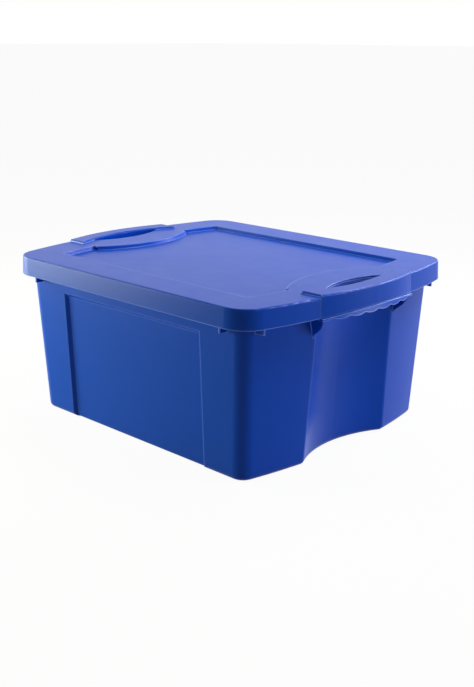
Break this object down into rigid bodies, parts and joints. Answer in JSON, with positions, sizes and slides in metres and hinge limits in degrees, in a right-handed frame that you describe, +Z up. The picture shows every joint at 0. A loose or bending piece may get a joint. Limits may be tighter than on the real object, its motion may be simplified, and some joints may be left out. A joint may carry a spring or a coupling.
{
  "type": "lidded storage box",
  "caption": "Rectangular moulded plastic storage box with bowed, scooped ends, waved finger lips and a lift-off lid that has arch handles and a sunk stacking panel.",
  "frame": {"origin": "centre of the base, on the surface the box stands on", "axes": "+X along the long direction, towards one handle; +Z up; +Y completes a right-handed frame"},
  "size_m": [0.5084, 0.4026, 0.224],
  "materials": {
    "tub_plastic": "satin opaque blue polypropylene with a faint mould grain",
    "lid_plastic": "satin opaque blue polypropylene, lightly scuffed on the top"
  },
  "bodies": {
    "tub": {"tub": "tub_plastic"},
    "lid": {"lid": "lid_plastic"}
  },
  "joints": [
    {"name": "lid_lift", "type": "slide", "parent": "tub", "child": "lid", "axis": [0, 0, 1], "range_m": [0, 0.2]}
  ]
}
